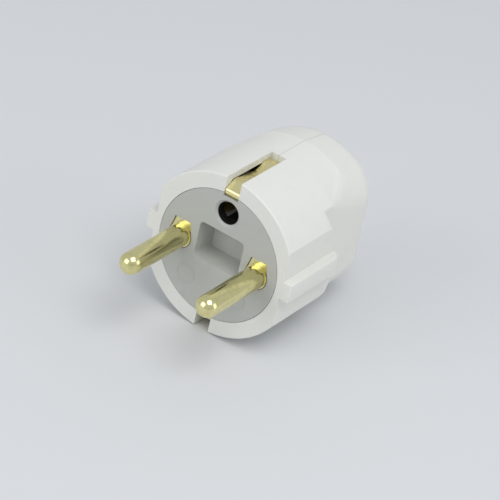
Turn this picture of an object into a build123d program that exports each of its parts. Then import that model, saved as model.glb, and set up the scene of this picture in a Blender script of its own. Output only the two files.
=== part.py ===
"""Angled mains plug with two round pins, side earth strips and a female earth hole.

Frame: X to the right seen from the front, Y into the body, Z up. The origin is midway between
the pins on the plane of the front face, so the pins point along -Y. All sizes are in mm.
"""

import os
from math import atan2, cos, radians, sin, sqrt, tan

from build123d import *

os.makedirs("parts", exist_ok=True)

# Mains interface
pin_spacing = 19.0
pin_diameter = 4.8
pin_length = 19.0
pin_recess = 0.35
earth_hole_height = 10.0
earth_hole_diameter = 5.0
earth_hole_chamfer = 0.45

# Housing, outside
body_radius = 18.0
collar_depth = 19.3
collar_slant = 14.0
collar_back_radius = 3.0
front_edge_radius = 0.3
flat_half_width = 15.8
rib_half_height = 2.0
slot_width = 3.56
slot_length = 15.8
hood_half_width = 13.5
hood_corner_radius = 9.4
shoulder_start = 17.5
shoulder_corner = 0.8
hood_bottom = 14.0
hood_bottom_radius = 6.2
hood_depth = 38.0
hood_lean = 3.7
crown_end = 25.3
crown_draft = 8.5
back_radius = 6.0

# Housing, inside
wall = 1.5
hood_wall = 1.8
flat_wall = 1.35
ring_lip = 2.2
hood_start = 12.0
stop_length = 3.0
stop_width = 3.2

# Contact carrier
carrier_radius = 14.35
carrier_gap = 0.1
plate_thickness = 2.6
lug_length = 3.75
lug_width = 6.0
tower_depth = 13.2
tower_inner_x = 5.6
tower_low = 4.4
tower_high = 5.6
passage_gap = 0.15
pocket_half_width = 5.45
pocket_low = -2.7
pocket_high = 5.6
pocket_depth = 5.0
pocket_draft = 9.0
pocket_corner = 1.0
pocket_floor = 1.2
mark_radius = 2.2
mark_height = 0.09
mark_x = 6.3
mark_z = -7.5
cover_thickness = 1.2
peg_x = 6.5
peg_z = -3.5
peg_radius = 0.6
peg_length = 2.0

# Pins and terminals
root_radius = 2.65
tab_low_half = 2.55
tab_top_half = 1.8
tab_start = 0.5
tab_height = 3.6
flange_grow = 0.7
flange_depth = 3.0
flange_length = 1.4
wire_hole_radius = 1.6
wire_hole_depth = 7.7
terminal_screw_depth = 9.3
terminal_shank_radius = 1.5
terminal_head_radius = 2.5
terminal_head_height = 1.7

# Earth contacts
strip_width = 3.3
strip_thickness = 0.7
strip_run_height = 16.1
strip_dip = 0.85
strip_end_height = 16.3
strip_fold_height = 13.95
strip_fold_depth = 0.57
strip_notch_gap = 0.12
web_clearance = 0.1
leaf_thickness = 0.5
leaf_width = 4.4
leaf_neck = 2.3
leaf_mouth = 2.9
leaf_base_half = 2.75
rivet_radius = 1.0
rivet_head_radius = 1.8
rivet_head_height = 0.5
earth_block_half = 3.0
earth_block_depth = 6.0
earth_block_low = 1.5
earth_block_high = 7.5
spigot_radius = 1.1
spigot_head_radius = 1.7
spigot_head_height = 0.5
earth_wire_radius = 1.6

# Cord inlet and clamp
cord_depth = 27.0
cord_hole_radius = 3.8
cord_neck_wall = 1.6
cord_neck_height = 4.2
cord_lead_in = 0.6
clamp_height = -1.2
clamp_seat = 3.4
clamp_thickness = 2.2
clamp_width = 4.6
clamp_overhang = 1.8
clamp_screw_offset = 5.4
clamp_post_radius = 2.2
clamp_shank_radius = 1.25
clamp_head_radius = 2.2
clamp_head_height = 1.6
clamp_screw_length = 9.0
clamp_ridge_radius = 0.5
saddle_thickness = 1.6
saddle_relief = 0.4

# Screws that join the housing halves
top_screw_place = (27.0, 9.6)
bottom_screw_place = (34.2, -7.3)
boss_radius = 3.3
housing_shank_radius = 1.5
housing_shank_gap = 0.15
housing_head_radius = 2.5
housing_head_height = 1.8
housing_head_gap = 0.2
screw_tip = 0.6
head_seat = 9.3
nut_half = 2.75
nut_thickness = 2.4
nut_start = 3.0
nut_gap = 0.1
screw_edge = 0.2
slot_cut_width = 0.7
slot_cut_depth = 0.8

# Values worked out from the sizes above
pin_x = pin_spacing / 2
pin_radius = pin_diameter / 2
earth_hole_radius = earth_hole_diameter / 2
inner_radius = body_radius - wall
web_back = slot_length - web_clearance
web_front = web_back - strip_thickness
web_middle = web_back - strip_thickness / 2
cover_back = tower_depth + cover_thickness
slant_slope = tan(radians(collar_slant))
lean_slope = tan(radians(hood_lean))
hood_floor = hood_bottom - hood_wall
stop_start = ring_lip + lug_length
clamp_top = clamp_seat + clamp_thickness
clamp_screw_places = [
    (cord_depth - clamp_screw_offset, clamp_height),
    (cord_depth + clamp_screw_offset, clamp_height),
]
housing_screw_places = [top_screw_place, bottom_screw_place]
big = 3 * body_radius


def front_plane(depth):
    """Plane across the plug, depth mm behind the front face, facing the back (+Y), Z up."""
    return Plane(origin=(0, depth, 0), x_dir=(-1, 0, 0), z_dir=(0, 1, 0))


def side_plane(x=0.0, depth=0.0, height=0.0):
    """Plane along the plug with its origin at the given point, facing +X: its own x is Y, its own y is Z."""
    return Plane(origin=(x, depth, height), x_dir=(0, 1, 0), z_dir=(1, 0, 0))


def collar_form(inset):
    """Round collar with a slanted back, inset mm smaller all round."""
    radius = body_radius - inset
    back = collar_depth - inset
    with BuildPart() as form:
        with BuildSketch(front_plane(0)):
            Circle(radius)
        extrude(amount=big)
        with BuildSketch(side_plane()):
            Polygon(
                (-1, -big),
                (back + big * slant_slope, -big),
                (back - big * slant_slope, big),
                (-1, big),
                align=None,
            )
        extrude(amount=big, both=True, mode=Mode.INTERSECT)
        fillet(form.faces().sort_by(Axis.Y)[-1].edges(), collar_back_radius - inset / 2)
    return form.part


def hood_outline(depth, inset, lowered, corner):
    """Section of the hood at one depth: round top, flat sides and rounded lower corners."""
    radius = body_radius - inset - lowered
    half = hood_half_width - inset
    low = hood_bottom - inset
    turn = hood_bottom_radius - inset
    corner_x = half - corner
    corner_z = sqrt((radius - corner) ** 2 - corner_x**2)
    angle = atan2(corner_z, corner_x)
    reach = radius / (radius - corner)
    touch = (corner_x * reach, corner_z * reach)
    steep = (angle + radians(90)) / 2
    diagonal = turn * cos(radians(45))
    with BuildSketch(front_plane(depth)) as outline:
        with BuildLine():
            ThreePointArc((0, radius), (radius * cos(steep), radius * sin(steep)), touch)
            ThreePointArc(
                touch,
                (corner_x + corner * cos(angle / 2), corner_z + corner * sin(angle / 2)),
                (half, corner_z),
            )
            Line((half, corner_z), (half, turn - low))
            ThreePointArc(
                (half, turn - low),
                (half - turn + diagonal, turn - low - diagonal),
                (half - turn, -low),
            )
            Line((half - turn, -low), (0, -low))
            mirror(about=Plane.YZ)
        make_face()
    return outline.sketch


def hood_form(inset):
    """Rear hood: round top that narrows behind crown_end, flat sides and a rounded, leaning back."""
    back = hood_depth - inset
    corner = hood_corner_radius - inset
    outlines = [
        hood_outline(shoulder_start, inset, 0, shoulder_corner),
        hood_outline(crown_end, inset, 0, corner),
        hood_outline(crown_end + body_radius, inset, body_radius * tan(radians(crown_draft)), corner),
    ]
    with BuildPart() as form:
        extrude(outlines[0], amount=hood_start - shoulder_start)
        for front, rear in zip(outlines, outlines[1:]):
            loft([front, rear], ruled=True)
        with BuildSketch(side_plane()):
            Polygon(
                (0, -big),
                (back + big * lean_slope, -big),
                (back - big * lean_slope, big),
                (0, big),
                align=None,
            )
        extrude(amount=big, both=True, mode=Mode.INTERSECT)
        fillet(form.faces().sort_by(Axis.Y)[-1].edges(), back_radius - inset)
    return form.part


def keyhole(grow):
    """Round root of a pin with a tapering tab above it, grow mm larger all round."""
    Circle(root_radius + grow)
    Polygon(
        (-tab_low_half - grow, tab_start),
        (tab_low_half + grow, tab_start),
        (tab_top_half + grow, tab_height + grow),
        (-tab_top_half - grow, tab_height + grow),
        align=None,
    )


def slotted_screw(label, seat, head_radius, head_height, shank_radius, length):
    """Cheese-head screw whose head sits on the seat plane and whose shank runs below it."""
    with BuildPart() as screw:
        with BuildSketch(seat):
            Circle(head_radius)
        extrude(amount=head_height)
        chamfer(screw.edges(), screw_edge)
        with BuildSketch(seat):
            Circle(shank_radius)
        extrude(amount=-length)
        with BuildSketch(seat.offset(head_height)):
            Rectangle(3 * head_radius, slot_cut_width)
        extrude(amount=-slot_cut_depth, mode=Mode.SUBTRACT)
    screw.part.label = label
    return screw.part


def shell_form():
    """Whole housing before it is parted: outer form, cavity, slots, stops, bosses and cord neck."""
    with BuildPart() as cavity:
        add(collar_form(wall))
        with BuildSketch(front_plane(ring_lip)):
            Rectangle(2 * (flat_half_width - flat_wall), big)
        extrude(amount=big, mode=Mode.INTERSECT)
        add(hood_form(hood_wall))

        # Left standing in the cavity: stops behind the carrier's lugs, screw bosses and cord neck
        stop_inner = carrier_radius + 2 * carrier_gap
        with BuildSketch(front_plane(stop_start)):
            with PolarLocations(stop_inner + wall, 4, start_angle=45):
                Rectangle(2 * wall, stop_width)
        extrude(amount=stop_length, mode=Mode.SUBTRACT)
        with BuildSketch(side_plane()):
            with Locations(*housing_screw_places):
                Circle(boss_radius)
        extrude(amount=big, both=True, mode=Mode.SUBTRACT)
        with BuildSketch(Plane.XY.offset(-hood_bottom)):
            with Locations((0, cord_depth)):
                Circle(cord_hole_radius + cord_neck_wall)
        extrude(amount=hood_wall + cord_neck_height, mode=Mode.SUBTRACT)

    with BuildPart() as shell:
        add(collar_form(0))
        add(hood_form(0))
        fillet(shell.edges().group_by(Axis.Y)[0], front_edge_radius)

        # Flats on both sides leave a guide rib in the middle of each
        with BuildSketch(front_plane(-1)):
            for side in (-1, 1):
                for level in (-1, 1):
                    corner = (side * (flat_half_width + big / 2), level * (rib_half_height + big / 2))
                    with Locations(corner):
                        Rectangle(big, big)
        extrude(amount=big, mode=Mode.SUBTRACT)

        add(cavity.part, mode=Mode.SUBTRACT)

        # Front opening, which the carrier's face fills
        with BuildSketch(front_plane(-1)):
            Circle(carrier_radius + carrier_gap)
        extrude(amount=1 + ring_lip, mode=Mode.SUBTRACT)

        # Slots for the earth strip, top and bottom
        with BuildSketch(front_plane(-1)):
            with Locations((0, inner_radius), (0, -inner_radius)):
                Rectangle(slot_width, 2 * (body_radius - carrier_radius))
        extrude(amount=1 + slot_length, mode=Mode.SUBTRACT)
    return shell.part


# Cord inlet, cut through the finished shell from below
cord_way_height = 20 + clamp_height - clamp_width / 2
shell = shell_form() - Pos(0, cord_depth, -20) * Cylinder(
    cord_hole_radius, cord_way_height, align=(Align.CENTER, Align.CENTER, Align.MIN)
)

# Left half of the housing: screw heads outside, clamp posts and cord saddle inside
with BuildPart() as left_housing:
    add(shell)
    split(bisect_by=Plane.YZ, keep=Keep.BOTTOM)
    with BuildSketch(side_plane()):
        with Locations(*housing_screw_places):
            Circle(housing_shank_radius + housing_shank_gap)
    extrude(amount=-big, mode=Mode.SUBTRACT)
    with BuildSketch(side_plane(-head_seat)):
        with Locations(*housing_screw_places):
            Circle(housing_head_radius + housing_head_gap)
    extrude(amount=-big, mode=Mode.SUBTRACT)

    post_root = hood_half_width - wall
    with BuildSketch(side_plane(clamp_seat)):
        with Locations(*clamp_screw_places):
            Circle(clamp_post_radius)
    extrude(amount=-clamp_seat - post_root)
    with BuildSketch(Plane.XY.offset(clamp_height - saddle_thickness / 2)):
        with Locations((-post_root, cord_depth)):
            Rectangle(post_root, 2 * clamp_screw_offset, align=(Align.MIN, Align.CENTER))
        with Locations((0, cord_depth)):
            Circle(cord_hole_radius + saddle_relief, mode=Mode.SUBTRACT)
    extrude(amount=saddle_thickness)
    with BuildSketch(side_plane(clamp_seat)):
        with Locations(*clamp_screw_places):
            Circle(clamp_shank_radius)
    extrude(amount=-clamp_screw_length, mode=Mode.SUBTRACT)
left_housing.part.label = "left_housing"

# Right half of the housing: blind screw holes with side pockets for the square nuts
with BuildPart() as right_housing:
    add(shell)
    split(bisect_by=Plane.YZ, keep=Keep.TOP)
    hole_end = nut_start + nut_thickness + 2 * screw_tip
    with BuildSketch(side_plane()):
        with Locations(*housing_screw_places):
            Circle(housing_shank_radius + housing_shank_gap)
    extrude(amount=hole_end, mode=Mode.SUBTRACT)
    pocket_half = nut_half + nut_gap
    with BuildSketch(side_plane(nut_start - nut_gap)):
        for place, inward in ((top_screw_place, -1), (bottom_screw_place, 1)):
            reach = boss_radius + 1
            with Locations((place[0], place[1] + inward * (reach - pocket_half) / 2)):
                Rectangle(2 * pocket_half, reach + pocket_half)
    extrude(amount=nut_thickness + 2 * nut_gap, mode=Mode.SUBTRACT)
right_housing.part.label = "right_housing"

# Contact carrier: face plate, lugs, pin towers, earth tower and the blind pocket
with BuildPart() as contact_carrier:
    with BuildSketch(front_plane(0)):
        Circle(carrier_radius)
    extrude(amount=plate_thickness)
    lug_top = inner_radius - 3 * carrier_gap
    with BuildSketch(front_plane(ring_lip)):
        with PolarLocations(lug_top / 2 + carrier_radius / 2 - 1, 4, start_angle=45):
            Rectangle(lug_top - carrier_radius + 2, lug_width)
        Circle(lug_top, mode=Mode.INTERSECT)
    extrude(amount=lug_length)

    tower_middle = (tower_high - tower_low) / 2
    with BuildSketch(front_plane(plate_thickness)):
        for side in (-1, 1):
            with Locations((side * (tower_inner_x + carrier_radius) / 2, tower_middle)):
                Rectangle(carrier_radius - tower_inner_x, tower_high + tower_low)
        Circle(carrier_radius, mode=Mode.INTERSECT)
        with Locations((0, earth_hole_height - leaf_width / 2 - 1.2)):
            earth_tower_top = strip_fold_height - strip_thickness - 2 * strip_notch_gap
            Rectangle(
                2 * (leaf_mouth + 1.5),
                earth_tower_top - earth_hole_height + leaf_width / 2 + 1.2,
                align=(Align.CENTER, Align.MIN),
            )
    extrude(amount=tower_depth - plate_thickness)
    with BuildSketch(front_plane(plate_thickness)):
        with Locations((0, (pocket_high + pocket_low) / 2)):
            Rectangle(2 * tower_inner_x + 1, pocket_high - pocket_low + 2 * pocket_floor)
    extrude(amount=pocket_depth + pocket_floor - plate_thickness)

    # Passages for the pins, wider behind the flange, and windows over the terminal screws
    with BuildSketch(front_plane(-1)):
        with Locations((-pin_x, 0), (pin_x, 0)):
            keyhole(passage_gap)
    extrude(amount=2 + tower_depth, mode=Mode.SUBTRACT)
    with BuildSketch(front_plane(flange_depth)):
        with Locations((-pin_x, 0), (pin_x, 0)):
            keyhole(flange_grow + passage_gap)
    extrude(amount=tower_depth, mode=Mode.SUBTRACT)
    with BuildSketch(Plane.XY.offset(tab_height - 1)):
        with Locations((-pin_x, terminal_screw_depth), (pin_x, terminal_screw_depth)):
            Circle(terminal_head_radius + 2 * passage_gap)
    extrude(amount=tower_high, mode=Mode.SUBTRACT)

    # Blind pocket in the face, drafted
    with BuildSketch(front_plane(0)):
        with Locations((0, (pocket_high + pocket_low) / 2)):
            RectangleRounded(2 * pocket_half_width, pocket_high - pocket_low, pocket_corner)
    extrude(amount=pocket_depth, taper=pocket_draft, mode=Mode.SUBTRACT)

    # Earth hole and the room for the earth socket behind it
    with BuildSketch(front_plane(plate_thickness)):
        with Locations((0, earth_hole_height)):
            Rectangle(2 * leaf_mouth + leaf_thickness + 2 * passage_gap, leaf_width + 2 * passage_gap)
    extrude(amount=tower_depth, mode=Mode.SUBTRACT)
    with BuildSketch(front_plane(0)):
        with Locations((0, earth_hole_height)):
            Circle(earth_hole_radius)
    extrude(amount=plate_thickness, mode=Mode.SUBTRACT)
    earth_rim = contact_carrier.edges().filter_by(GeomType.CIRCLE).group_by(Axis.Y)[0]
    chamfer(earth_rim.filter_by(lambda edge: abs(edge.radius - earth_hole_radius) < 0.01), earth_hole_chamfer)

    # Notches in the rim for the folded ends of the earth strip
    notch_floor = strip_fold_height - strip_thickness / 2 - strip_notch_gap
    with BuildSketch(front_plane(-1)):
        with Locations((0, notch_floor + 1), (0, -notch_floor - 1)):
            Rectangle(strip_width + 2 * strip_notch_gap, 2)
    extrude(amount=1 + stop_start, mode=Mode.SUBTRACT)

    # Plain raised rings where approval marks usually stand
    with BuildSketch(front_plane(0)):
        with Locations((-mark_x, mark_z), (mark_x, mark_z)):
            Circle(mark_radius)
            Circle(mark_radius - 0.3, mode=Mode.SUBTRACT)
    extrude(amount=-mark_height)

    # Blind holes for the cover's pegs
    with BuildSketch(front_plane(tower_depth)):
        with Locations((-peg_x, peg_z), (peg_x, peg_z)):
            Circle(peg_radius)
    extrude(amount=-peg_length - passage_gap, mode=Mode.SUBTRACT)
contact_carrier.part.label = "contact_carrier"

# Cover that closes the pin towers from behind
with BuildPart() as carrier_cover:
    with BuildSketch(front_plane(tower_depth)):
        with Locations((0, tower_middle)):
            Rectangle(2 * carrier_radius, tower_high + tower_low)
        Circle(carrier_radius - 2 * carrier_gap, mode=Mode.INTERSECT)
        with Locations((-pin_x, 0), (pin_x, 0)):
            Circle(wire_hole_radius + 2 * passage_gap, mode=Mode.SUBTRACT)
    extrude(amount=cover_thickness)
    with BuildSketch(front_plane(tower_depth)):
        with Locations((-peg_x, peg_z), (peg_x, peg_z)):
            Circle(peg_radius)
    extrude(amount=-peg_length)
carrier_cover.part.label = "carrier_cover"


def contact_pin(label, x):
    """Round pin with its tip on a half sphere and a keyhole-shaped terminal body behind it."""
    with BuildPart() as pin:
        with BuildSketch(Plane(origin=(x, 0, 0))):
            with BuildLine():
                tip = CenterArc((0, pin_radius - pin_length), pin_radius, -90, 90)
                Polyline(
                    tip @ 1,
                    (pin_radius, 0),
                    (root_radius, 0),
                    (root_radius, pin_recess),
                    (0, pin_recess),
                    tip @ 0,
                )
            make_face()
        revolve(axis=Axis((x, 0, 0), (0, 1, 0)))
        with BuildSketch(front_plane(pin_recess)):
            with Locations((-x, 0)):
                keyhole(0)
        extrude(amount=tower_depth - pin_recess)
        with BuildSketch(front_plane(flange_depth)):
            with Locations((-x, 0)):
                keyhole(flange_grow)
        extrude(amount=flange_length)
        with BuildSketch(front_plane(tower_depth)):
            with Locations((-x, 0)):
                Circle(wire_hole_radius)
        extrude(amount=-wire_hole_depth, mode=Mode.SUBTRACT)
        with BuildSketch(Plane.XY.offset(tab_height)):
            with Locations((x, terminal_screw_depth)):
                Circle(terminal_shank_radius)
        extrude(amount=-tab_height, mode=Mode.SUBTRACT)
    pin.part.label = label
    return pin.part


live_pin = contact_pin("live_pin", pin_x)
neutral_pin = contact_pin("neutral_pin", -pin_x)


def terminal_screw(label, x):
    """Screw that clamps a wire in a pin's terminal body, driven from above."""
    seat = Plane(origin=(x, terminal_screw_depth, tab_height))
    return slotted_screw(
        label, seat, terminal_head_radius, terminal_head_height, terminal_shank_radius, tab_height - 1
    )


live_terminal_screw = terminal_screw("live_terminal_screw", pin_x)
neutral_terminal_screw = terminal_screw("neutral_terminal_screw", -pin_x)

# Earth strip: one bent strip that shows in both slots and crosses behind the carrier
upper_route = [
    (plate_thickness + 1, strip_fold_height),
    (strip_fold_depth, strip_fold_height),
    (strip_fold_depth, strip_fold_height + 0.9),
    (2.9, strip_run_height),
    (5.6, strip_run_height - 0.4 * strip_dip),
    (8.4, strip_run_height - 0.9 * strip_dip),
    (10.3, strip_run_height - strip_dip),
    (12.2, strip_run_height - 0.5 * strip_dip),
    (13.5, strip_end_height),
    (web_middle, strip_end_height),
]
lower_route = [(depth, -height) for depth, height in reversed(upper_route)]
earth_block_middle = (earth_block_low + earth_block_high) / 2
with BuildPart() as earth_strip:
    with BuildSketch(side_plane()):
        with BuildLine():
            FilletPolyline(*upper_route, *lower_route, radius=0.4)
        trace(line_width=strip_thickness)
    extrude(amount=strip_width / 2, both=True)
    with BuildSketch(front_plane(web_front - 1)):
        with Locations((0, earth_hole_height)):
            Circle(rivet_radius)
        with Locations((0, earth_block_middle)):
            Circle(spigot_radius)
    extrude(amount=strip_thickness + 2, mode=Mode.SUBTRACT)
earth_strip.part.label = "earth_strip"

# Earth socket: sprung leaves on both sides of the socket's earth pin
base_depth = web_front - leaf_thickness / 2
left_leaf = [
    (-leaf_mouth, plate_thickness + 0.4),
    (-leaf_neck, 6.0),
    (-leaf_base_half, 10.5),
    (-leaf_base_half, base_depth),
]
right_leaf = [(-x, depth) for x, depth in reversed(left_leaf)]
with BuildPart() as earth_socket:
    with BuildSketch(Plane.XY.offset(earth_hole_height)):
        with BuildLine():
            FilletPolyline(*left_leaf, *right_leaf, radius=0.4)
        trace(line_width=leaf_thickness)
    extrude(amount=leaf_width / 2, both=True)
    with BuildSketch(front_plane(base_depth - 1)):
        with Locations((0, earth_hole_height)):
            Circle(rivet_radius)
    extrude(amount=2, mode=Mode.SUBTRACT)
earth_socket.part.label = "earth_socket"

# Rivet that joins the earth socket to the strip
with BuildPart() as earth_socket_rivet:
    for start, radius, length in (
        (web_front - leaf_thickness, rivet_head_radius, -rivet_head_height),
        (web_front - leaf_thickness, rivet_radius, leaf_thickness + strip_thickness),
        (web_back, rivet_head_radius, rivet_head_height),
    ):
        with BuildSketch(front_plane(start)):
            with Locations((0, earth_hole_height)):
                Circle(radius)
        extrude(amount=length)
earth_socket_rivet.part.label = "earth_socket_rivet"

# Earth terminal: block with a wire hole from below and a spigot peened through the strip
earth_wire_depth = web_back + earth_block_depth / 2
earth_screw_height = earth_block_high - earth_block_half + 0.5
with BuildPart() as earth_terminal:
    with BuildSketch(front_plane(web_back)):
        with Locations((0, earth_block_middle)):
            Rectangle(2 * earth_block_half, earth_block_high - earth_block_low)
    extrude(amount=earth_block_depth)
    chamfer(earth_terminal.edges().filter_by(Axis.Y), 0.4)
    with BuildSketch(front_plane(web_back)):
        with Locations((0, earth_block_middle)):
            Circle(spigot_radius)
    extrude(amount=-strip_thickness)
    with BuildSketch(front_plane(web_front)):
        with Locations((0, earth_block_middle)):
            Circle(spigot_head_radius)
    extrude(amount=-spigot_head_height)
    with BuildSketch(Plane.XY.offset(earth_block_low - 1)):
        with Locations((0, earth_wire_depth)):
            Circle(earth_wire_radius)
    extrude(amount=big, mode=Mode.SUBTRACT)
    with BuildSketch(side_plane(earth_block_half)):
        with Locations((earth_wire_depth, earth_screw_height)):
            Circle(terminal_shank_radius)
    extrude(amount=-earth_block_half, mode=Mode.SUBTRACT)
earth_terminal.part.label = "earth_terminal"

earth_terminal_screw = slotted_screw(
    "earth_terminal_screw",
    side_plane(earth_block_half, earth_wire_depth, earth_screw_height),
    terminal_head_radius,
    terminal_head_height,
    terminal_shank_radius,
    earth_block_half - 0.5,
)

# Cord clamp: a bar with two grip ridges, screwed down on the posts
with BuildPart() as cord_clamp:
    with BuildSketch(side_plane(clamp_seat)):
        with Locations((cord_depth, clamp_height)):
            RectangleRounded(2 * (clamp_screw_offset + clamp_overhang), clamp_width, 1.0)
    extrude(amount=clamp_thickness)
    ridge_length = 2 * (clamp_screw_offset - clamp_post_radius - passage_gap)
    with BuildSketch(front_plane(cord_depth)):
        for level in (-1, 1):
            with Locations((-clamp_seat, clamp_height + level * clamp_width / 4)):
                Circle(clamp_ridge_radius)
    extrude(amount=ridge_length / 2, both=True)
    with BuildSketch(side_plane(clamp_seat)):
        with Locations(*clamp_screw_places):
            Circle(clamp_shank_radius + passage_gap)
    extrude(amount=clamp_thickness, mode=Mode.SUBTRACT)
cord_clamp.part.label = "cord_clamp"

clamp_screws = [
    slotted_screw(
        label,
        side_plane(clamp_top, *place),
        clamp_head_radius,
        clamp_head_height,
        clamp_shank_radius,
        clamp_screw_length,
    )
    for label, place in zip(("front_clamp_screw", "rear_clamp_screw"), clamp_screw_places)
]

# Screws and square nuts that hold the two halves of the housing together
housing_screw_length = head_seat + nut_start + nut_thickness + screw_tip
housing_fasteners = []
for name, place in zip(("top", "bottom"), housing_screw_places):
    seat = Plane(origin=(-head_seat, *place), x_dir=(0, 1, 0), z_dir=(-1, 0, 0))
    housing_fasteners.append(
        slotted_screw(
            f"{name}_housing_screw",
            seat,
            housing_head_radius,
            housing_head_height,
            housing_shank_radius,
            housing_screw_length,
        )
    )
    with BuildPart() as square_nut:
        with BuildSketch(side_plane(nut_start)):
            with Locations(place):
                Rectangle(2 * nut_half, 2 * nut_half)
                Circle(housing_shank_radius, mode=Mode.SUBTRACT)
        extrude(amount=nut_thickness)
    square_nut.part.label = f"{name}_housing_nut"
    housing_fasteners.append(square_nut.part)

pieces = [
    left_housing.part,
    right_housing.part,
    contact_carrier.part,
    carrier_cover.part,
    live_pin,
    neutral_pin,
    live_terminal_screw,
    neutral_terminal_screw,
    earth_strip.part,
    earth_socket.part,
    earth_socket_rivet.part,
    earth_terminal.part,
    earth_terminal_screw,
    cord_clamp.part,
    *clamp_screws,
    *housing_fasteners,
]
for piece in pieces:
    export_step(piece, f"parts/{piece.label}.step")
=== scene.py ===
"""Dressing of the angled mains plug: moulded and metal finishes, floor, light and camera.

Everything is in metres in the plug's own frame: X right seen from the front, Y into the body, Z up.
"""

import bpy
import numpy as np
from mathutils import Matrix, Vector


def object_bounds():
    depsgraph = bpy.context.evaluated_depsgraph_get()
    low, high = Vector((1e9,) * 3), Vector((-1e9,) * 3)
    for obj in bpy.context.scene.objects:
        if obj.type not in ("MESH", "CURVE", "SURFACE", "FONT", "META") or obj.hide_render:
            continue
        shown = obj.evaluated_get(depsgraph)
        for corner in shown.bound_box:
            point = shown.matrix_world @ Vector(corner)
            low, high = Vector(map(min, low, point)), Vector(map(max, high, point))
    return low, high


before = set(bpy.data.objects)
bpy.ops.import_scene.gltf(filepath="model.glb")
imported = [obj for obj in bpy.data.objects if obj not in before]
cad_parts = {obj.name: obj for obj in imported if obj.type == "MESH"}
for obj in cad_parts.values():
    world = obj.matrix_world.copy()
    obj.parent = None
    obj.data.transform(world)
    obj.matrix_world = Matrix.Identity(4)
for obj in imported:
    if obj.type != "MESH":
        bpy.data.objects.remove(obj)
cad_low, cad_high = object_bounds()

# Depth of one unit of bump height, in metres
BUMP_DEPTH = 0.00001

# Places on the plug in its own millimetres
EARTH_HOLE = (0.0, 10.0)
# Edge and depth of the painted shade inside the earth hole
EARTH_HOLE_EDGE = (2.60, 2.75)
EARTH_HOLE_DEPTH = (0.40, 0.60)
PARTING_LINE_EDGE = (0.02, 0.13)
SINK_MARK = (12.9, 7.4, 12.3)
SINK_MARK_SPREAD = (0.9, 0.5, 1.1)

# Colours, linear
# Painted shade: nearly black colour standing in for the dark inside of the earth hole
HOLE_SHADE = (0.012, 0.012, 0.011, 1)
LINE_SHADE = (0.36, 0.355, 0.33, 1)

# Node helpers


def new_group(name, inputs, outputs):
    """Empty shader node group with the given (name, kind, value) inputs and (name, kind) outputs."""
    group = bpy.data.node_groups.new(name, "ShaderNodeTree")
    for label, kind, value in inputs:
        socket = group.interface.new_socket(name=label, in_out="INPUT", socket_type=kind)
        if value is not None:
            socket.default_value = value
    for label, kind in outputs:
        group.interface.new_socket(name=label, in_out="OUTPUT", socket_type=kind)
    return group


class Wiring:
    """Adds nodes to one tree; a value given to an input is either a number or another node's output."""

    def __init__(self, tree):
        self.tree = tree

    def put(self, socket, value):
        """Link another node's output to the socket, or set the socket's own value."""
        if isinstance(value, bpy.types.NodeSocket):
            self.tree.links.new(value, socket)
        elif value is not None:
            socket.default_value = value

    def node(self, kind, settings=None, **inputs):
        """New node with the given settings and inputs; an underscore in an input's name is a space."""
        made = self.tree.nodes.new(kind)
        for key, value in (settings or {}).items():
            setattr(made, key, value)
        for key, value in inputs.items():
            self.put(made.inputs[key.replace("_", " ")], value)
        return made

    def maths(self, operation, *values):
        """Result of one arithmetic step on the given values."""
        made = self.tree.nodes.new("ShaderNodeMath")
        made.operation = operation
        for socket, value in zip(made.inputs, values):
            self.put(socket, value)
        return made.outputs[0]

    def ramp(self, value, low, high, start=0.0, end=1.0):
        """Smooth step of value between low and high, mapped to start..end."""
        made = self.node("ShaderNodeMapRange", {"interpolation_type": "SMOOTHSTEP"})
        for socket, number in zip(made.inputs, (value, low, high, start, end)):
            self.put(socket, number)
        return made.outputs["Result"]

    def mix(self, amount, first, second):
        """Colour between first and second."""
        made = self.node("ShaderNodeMix", {"data_type": "RGBA"})
        self.put(made.inputs["Factor"], amount)
        self.put(made.inputs["A"], first)
        self.put(made.inputs["B"], second)
        return made.outputs["Result"]

    def noise(self, place, scale, detail=3.0, rough=0.55):
        """Cloudy value around a half; scale is in clouds per metre."""
        made = self.node("ShaderNodeTexNoise", Scale=scale, Detail=detail, Roughness=rough)
        self.put(made.inputs["Vector"], place)
        return made.outputs["Fac"]

    def effect(self, group, place, **inputs):
        """Shared effect at a place, with its inputs set by name; returns its outputs."""
        made = self.node("ShaderNodeGroup", {"node_tree": group}, Place=place)
        for key, value in inputs.items():
            made.inputs[key.replace("_", " ")].default_value = value
        return made.outputs


# Shared surface effects


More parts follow.
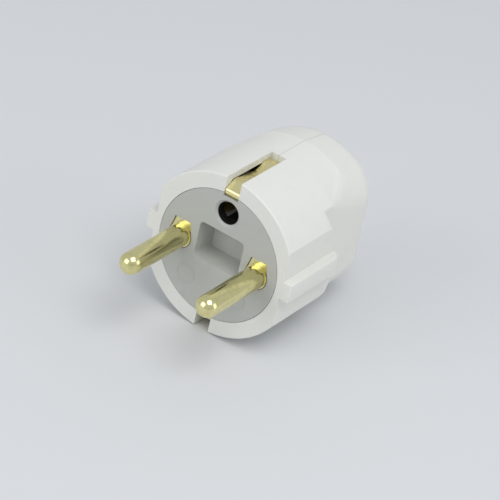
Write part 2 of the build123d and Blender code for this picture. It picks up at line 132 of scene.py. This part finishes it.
def moulding_group():
    """Moulded plastic: fine eroded grain, slow waviness and faint handling marks."""
    group = new_group(
        "moulded_face",
        [
            ("Place", "NodeSocketVector", None),
            ("Tone", "NodeSocketColor", (0.7, 0.7, 0.7, 1)),
            ("Shade", "NodeSocketColor", (0.6, 0.6, 0.6, 1)),
            ("Grain", "NodeSocketFloat", 2600.0),
            ("Marks", "NodeSocketFloat", 0.2),
            ("Base Roughness", "NodeSocketFloat", 0.45),
        ],
        [("Colour", "NodeSocketColor"), ("Roughness", "NodeSocketFloat"), ("Height", "NodeSocketFloat")],
    )
    wiring = Wiring(group)
    given = wiring.node("NodeGroupInput").outputs
    result = wiring.node("NodeGroupOutput").inputs
    fine = wiring.noise(given["Place"], given["Grain"], 2.0, 0.5)
    slow = wiring.noise(given["Place"], 90.0, 3.0, 0.5)
    cloud = wiring.noise(given["Place"], 260.0, 4.0, 0.6)
    worn = wiring.ramp(cloud, 0.52, 0.78)
    amount = wiring.maths("MULTIPLY", worn, given["Marks"])
    tinted = wiring.mix(amount, given["Tone"], given["Shade"])
    speck = wiring.maths("MULTIPLY", wiring.ramp(fine, 0.60, 0.80), 0.10)
    wiring.put(result["Colour"], wiring.mix(speck, tinted, given["Shade"]))
    spread = wiring.maths("MULTIPLY_ADD", cloud, 0.16, -0.08)
    wiring.put(result["Roughness"], wiring.maths("ADD", spread, given["Base Roughness"]))
    wavy = wiring.maths("MULTIPLY", slow, 3.0)
    wiring.put(result["Height"], wiring.maths("ADD", fine, wavy))
    return group


def metal_group():
    """Bare metal: streaks along one direction, tarnish patches and small scratches."""
    group = new_group(
        "drawn_metal",
        [
            ("Place", "NodeSocketVector", None),
            ("Along", "NodeSocketVector", (1.0, 0.06, 1.0)),
            ("Bright", "NodeSocketColor", (0.8, 0.65, 0.3, 1)),
            ("Dull", "NodeSocketColor", (0.4, 0.3, 0.12, 1)),
            ("Tarnish", "NodeSocketFloat", 0.5),
            ("Base Roughness", "NodeSocketFloat", 0.25),
        ],
        [("Colour", "NodeSocketColor"), ("Roughness", "NodeSocketFloat"), ("Height", "NodeSocketFloat")],
    )
    wiring = Wiring(group)
    given = wiring.node("NodeGroupInput").outputs
    result = wiring.node("NodeGroupOutput").inputs
    drawn = wiring.node("ShaderNodeVectorMath", {"operation": "MULTIPLY"})
    wiring.put(drawn.inputs[0], given["Place"])
    wiring.put(drawn.inputs[1], given["Along"])
    streak = wiring.noise(drawn.outputs[0], 2400.0, 4.0, 0.6)
    patch = wiring.noise(given["Place"], 420.0, 4.0, 0.62)
    speck = wiring.noise(given["Place"], 3600.0, 2.0, 0.5)
    stained = wiring.ramp(patch, 0.48, 0.72)
    lined = wiring.ramp(streak, 0.50, 0.75)
    either = wiring.maths("MULTIPLY_ADD", lined, 0.55, wiring.maths("MULTIPLY", stained, 0.45))
    amount = wiring.maths("MULTIPLY", either, given["Tarnish"])
    wiring.put(result["Colour"], wiring.mix(amount, given["Bright"], given["Dull"]))
    rougher = wiring.maths("MULTIPLY_ADD", either, 0.18, given["Base Roughness"])
    wiring.put(result["Roughness"], rougher)
    wiring.put(result["Height"], wiring.maths("MULTIPLY_ADD", speck, 0.25, streak))
    return group


moulded_face = moulding_group()
drawn_metal = metal_group()


def start_material(name):
    """New node material; returns it, its wiring, its surface shader and the Object coordinates."""
    material = bpy.data.materials.new(name)
    material.use_nodes = True
    wiring = Wiring(material.node_tree)
    shader = next(n for n in material.node_tree.nodes if n.type == "BSDF_PRINCIPLED")
    place = wiring.node("ShaderNodeTexCoord").outputs["Object"]
    return material, wiring, shader, place


def axes_in_mm(wiring, place):
    """The three Object coordinates in millimetres."""
    scaled = wiring.node("ShaderNodeVectorMath", {"operation": "SCALE"}, Scale=1000.0)
    wiring.put(scaled.inputs[0], place)
    split = wiring.node("ShaderNodeSeparateXYZ")
    wiring.put(split.inputs[0], scaled.outputs[0])
    return split.outputs


def bumped(wiring, height, strength):
    """Surface direction bent by a height."""
    made = wiring.node("ShaderNodeBump", Strength=strength, Distance=BUMP_DEPTH)
    wiring.put(made.inputs["Height"], height)
    return made.outputs["Normal"]


def dent(wiring, axes, centre, spread):
    """Bell-shaped hollow: e to the minus squared distance from centre, each axis over its spread."""
    total = None
    for axis, middle, width in zip(axes, centre, spread):
        away = wiring.maths("DIVIDE", wiring.maths("SUBTRACT", axis, middle), width)
        squared = wiring.maths("MULTIPLY", away, away)
        total = squared if total is None else wiring.maths("ADD", total, squared)
    return wiring.maths("EXPONENT", wiring.maths("MULTIPLY", total, -1.0))


def off_axis(wiring, axes, centre):
    """Distance in X and Z from an axis that runs along Y through centre (x, z)."""
    across = wiring.maths("SUBTRACT", axes[0], centre[0])
    up = wiring.maths("SUBTRACT", axes[2], centre[1])
    squares = wiring.maths("MULTIPLY_ADD", across, across, wiring.maths("MULTIPLY", up, up))
    return wiring.maths("SQRT", squares)


def housing_plastic():
    """White housing: satin moulding with a fine parting line at x = 0 and one shallow sink mark."""
    material, wiring, shader, place = start_material("housing_white_moulding")
    face = wiring.effect(
        moulded_face,
        place,
        Tone=(0.735, 0.735, 0.690, 1),
        Shade=(0.640, 0.635, 0.585, 1),
        Grain=2300.0,
        Marks=0.22,
        Base_Roughness=0.42,
    )
    axes = axes_in_mm(wiring, place)
    line = wiring.ramp(wiring.maths("ABSOLUTE", axes[0]), *PARTING_LINE_EDGE, 1.0, 0.0)
    faded = wiring.maths("MULTIPLY", line, 0.42)
    wiring.put(shader.inputs["Base Color"], wiring.mix(faded, face["Colour"], LINE_SHADE))
    wiring.put(shader.inputs["Roughness"], face["Roughness"])
    sunk = dent(wiring, axes, SINK_MARK, SINK_MARK_SPREAD)
    lowered = wiring.maths("MULTIPLY_ADD", sunk, -9.0, face["Height"])
    lowered = wiring.maths("MULTIPLY_ADD", line, -4.0, lowered)
    wiring.put(shader.inputs["Normal"], bumped(wiring, lowered, 0.35))
    shader.inputs["Specular IOR Level"].default_value = 0.45
    shader.inputs["Subsurface Weight"].default_value = 0.06
    shader.inputs["Subsurface Radius"].default_value = (0.0012, 0.0010, 0.0008)
    shader.inputs["Subsurface Scale"].default_value = 1.0
    return material


def carrier_plastic(name, tone, shade, rough):
    """Grey filled thermoset: matt, with pale flecks, and painted shade: nearly black inside the earth
    hole.
    """
    material, wiring, shader, place = start_material(name)
    face = wiring.effect(
        moulded_face,
        place,
        Tone=(*tone, 1),
        Shade=(*shade, 1),
        Grain=3400.0,
        Marks=0.35,
        Base_Roughness=rough,
    )
    axes = axes_in_mm(wiring, place)
    # Painted shade: the carrier's colour turns nearly black on the walls inside the earth hole, past its
    # mouth
    inside = wiring.ramp(off_axis(wiring, axes, EARTH_HOLE), *EARTH_HOLE_EDGE, 1.0, 0.0)
    shaded = wiring.maths("MULTIPLY", inside, wiring.ramp(axes[1], *EARTH_HOLE_DEPTH))
    wiring.put(shader.inputs["Base Color"], wiring.mix(shaded, face["Colour"], HOLE_SHADE))
    wiring.put(shader.inputs["Roughness"], face["Roughness"])
    wiring.put(shader.inputs["Normal"], bumped(wiring, face["Height"], 0.4))
    shader.inputs["Specular IOR Level"].default_value = 0.4
    return material


def bare_metal(name, bright, dull, along, tarnish, rough):
    """Bare metal with drawn streaks; along is small on the axis the streaks run in."""
    material, wiring, shader, place = start_material(name)
    face = wiring.effect(
        drawn_metal,
        place,
        Along=along,
        Bright=(*bright, 1),
        Dull=(*dull, 1),
        Tarnish=tarnish,
        Base_Roughness=rough,
    )
    wiring.put(shader.inputs["Base Color"], face["Colour"])
    wiring.put(shader.inputs["Roughness"], face["Roughness"])
    wiring.put(shader.inputs["Normal"], bumped(wiring, face["Height"], 0.25))
    shader.inputs["Metallic"].default_value = 1.0
    return material


PIN_BRASS = bare_metal(
    "pin_brass",
    bright=(0.80, 0.74, 0.38),
    dull=(0.42, 0.37, 0.15),
    along=(1.0, 0.05, 1.0),
    tarnish=0.70,
    rough=0.17,
)
STRIP_BRASS = bare_metal(
    "strip_brass",
    bright=(0.88, 0.79, 0.42),
    dull=(0.48, 0.40, 0.17),
    along=(1.0, 0.08, 0.08),
    tarnish=0.40,
    rough=0.24,
)
# Painted shade: a darkened copy of the brass, nearly black in its dull parts, for the earth socket deep
# inside its hole
SOCKET_BRASS_PAINTED_SHADE = bare_metal(
    "socket_brass_painted_shade",
    bright=(0.50, 0.42, 0.17),
    dull=(0.08, 0.06, 0.03),
    along=(1.0, 1.0, 0.1),
    tarnish=0.6,
    rough=0.35,
)
BLOCK_BRASS = bare_metal(
    "block_brass",
    bright=(0.76, 0.63, 0.30),
    dull=(0.38, 0.30, 0.12),
    along=(0.1, 1.0, 1.0),
    tarnish=0.5,
    rough=0.30,
)
ZINC = bare_metal(
    "zinc_plate",
    bright=(0.66, 0.67, 0.69),
    dull=(0.42, 0.43, 0.45),
    along=(1.0, 1.0, 1.0),
    tarnish=0.5,
    rough=0.32,
)
HOUSING = housing_plastic()
CARRIER = carrier_plastic(
    "carrier_grey_moulding", tone=(0.455, 0.460, 0.430), shade=(0.385, 0.385, 0.360), rough=0.55
)
CLAMP = carrier_plastic(
    "clamp_grey_moulding", tone=(0.40, 0.40, 0.38), shade=(0.32, 0.32, 0.30), rough=0.5
)

FINISHES = {
    "left_housing": HOUSING,
    "right_housing": HOUSING,
    "contact_carrier": CARRIER,
    "carrier_cover": CARRIER,
    "cord_clamp": CLAMP,
    "live_pin": PIN_BRASS,
    "neutral_pin": PIN_BRASS,
    "earth_strip": STRIP_BRASS,
    "earth_socket": SOCKET_BRASS_PAINTED_SHADE,
    "earth_terminal": BLOCK_BRASS,
    "earth_socket_rivet": BLOCK_BRASS,
}
for name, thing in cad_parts.items():
    for slot in thing.material_slots:
        slot.material = FINISHES.get(name, ZINC)

# Floor, light and camera


def flat_material(name, colour, rough):
    """Plain surface with a very slow drift of tone."""
    material, wiring, shader, place = start_material(name)
    drift = wiring.noise(place, 3.0, 2.0, 0.5)
    darker = tuple(part * 0.985 for part in colour)
    wiring.put(shader.inputs["Base Color"], wiring.mix(drift, (*colour, 1), (*darker, 1)))
    shader.inputs["Roughness"].default_value = rough
    return material


def floor_sheet(height, reach):
    """Flat square: two parameters from -reach to reach, all points at one height."""
    steps = 5
    line = np.linspace(-reach, reach, steps)
    u, v = np.meshgrid(line, line, indexing="ij")
    points = np.stack([u, v, np.full_like(u, height)], axis=-1).reshape(-1, 3)
    index = np.arange(steps * steps).reshape(steps, steps)
    quads = np.stack([index[:-1, :-1], index[1:, :-1], index[1:, 1:], index[:-1, 1:]], axis=-1)
    quads = quads.reshape(-1, 4)
    mesh = bpy.data.meshes.new("floor")
    mesh.from_pydata(points.tolist(), [], quads.tolist())
    made = bpy.data.objects.new("floor", mesh)
    bpy.context.collection.objects.link(made)
    return made


floor = floor_sheet(cad_low[2], 3.0)
floor.data.materials.append(flat_material("pale_floor", (0.66, 0.67, 0.68), 0.7))


def soft_light(name, place, size, watts):
    """Rectangular lamp at a place in metres, turned towards the middle of the plug."""
    data = bpy.data.lights.new(name, "AREA")
    data.shape = "RECTANGLE"
    data.size, data.size_y = size
    data.energy = watts
    lamp = bpy.data.objects.new(name, data)
    bpy.context.collection.objects.link(lamp)
    lamp.location = place
    toward = PLUG_MIDDLE - lamp.location
    lamp.rotation_mode = "QUATERNION"
    lamp.rotation_quaternion = toward.to_track_quat("-Z", "Y")
    return lamp


PLUG_MIDDLE = Vector((0.0, 0.01, 0.0))
soft_light("key_light", place=(0.30, -0.20, 0.75), size=(0.5, 0.5), watts=3.0)
soft_light("side_light", place=(0.70, 0.25, 0.25), size=(0.4, 0.5), watts=0.7)
soft_light("fill_light", place=(-0.30, -0.70, 0.35), size=(0.6, 0.5), watts=1.7)

world = bpy.data.worlds.new("studio")
bpy.context.scene.world = world
world.use_nodes = True
sky = world.node_tree.nodes["Background"].inputs
sky["Color"].default_value = (0.92, 0.95, 1.0, 1)
sky["Strength"].default_value = 0.60

# Camera of the photograph: its place in metres, and its right, down and forward directions
CAMERA_PLACE = (0.245216, -0.448502, 0.314260)
CAMERA_RIGHT = (0.80251414, 0.56284289, 0.19793667)
CAMERA_DOWN = (0.44200859, -0.33802675, -0.83088286)
CAMERA_AHEAD = (-0.40074862, 0.75428496, -0.52005264)

camera_data = bpy.data.cameras.new("camera")
camera_data.sensor_width = 36.0
camera_data.lens = 215.1
camera_data.clip_start = 0.01
camera_data.clip_end = 20.0
camera = bpy.data.objects.new("camera", camera_data)
bpy.context.collection.objects.link(camera)
rows = [
    (right, -down, -ahead, place)
    for right, down, ahead, place in zip(CAMERA_RIGHT, CAMERA_DOWN, CAMERA_AHEAD, CAMERA_PLACE)
]
camera.matrix_world = Matrix((*rows, (0, 0, 0, 1)))
bpy.context.scene.camera = camera
bpy.context.scene.view_settings.view_transform = "Standard"
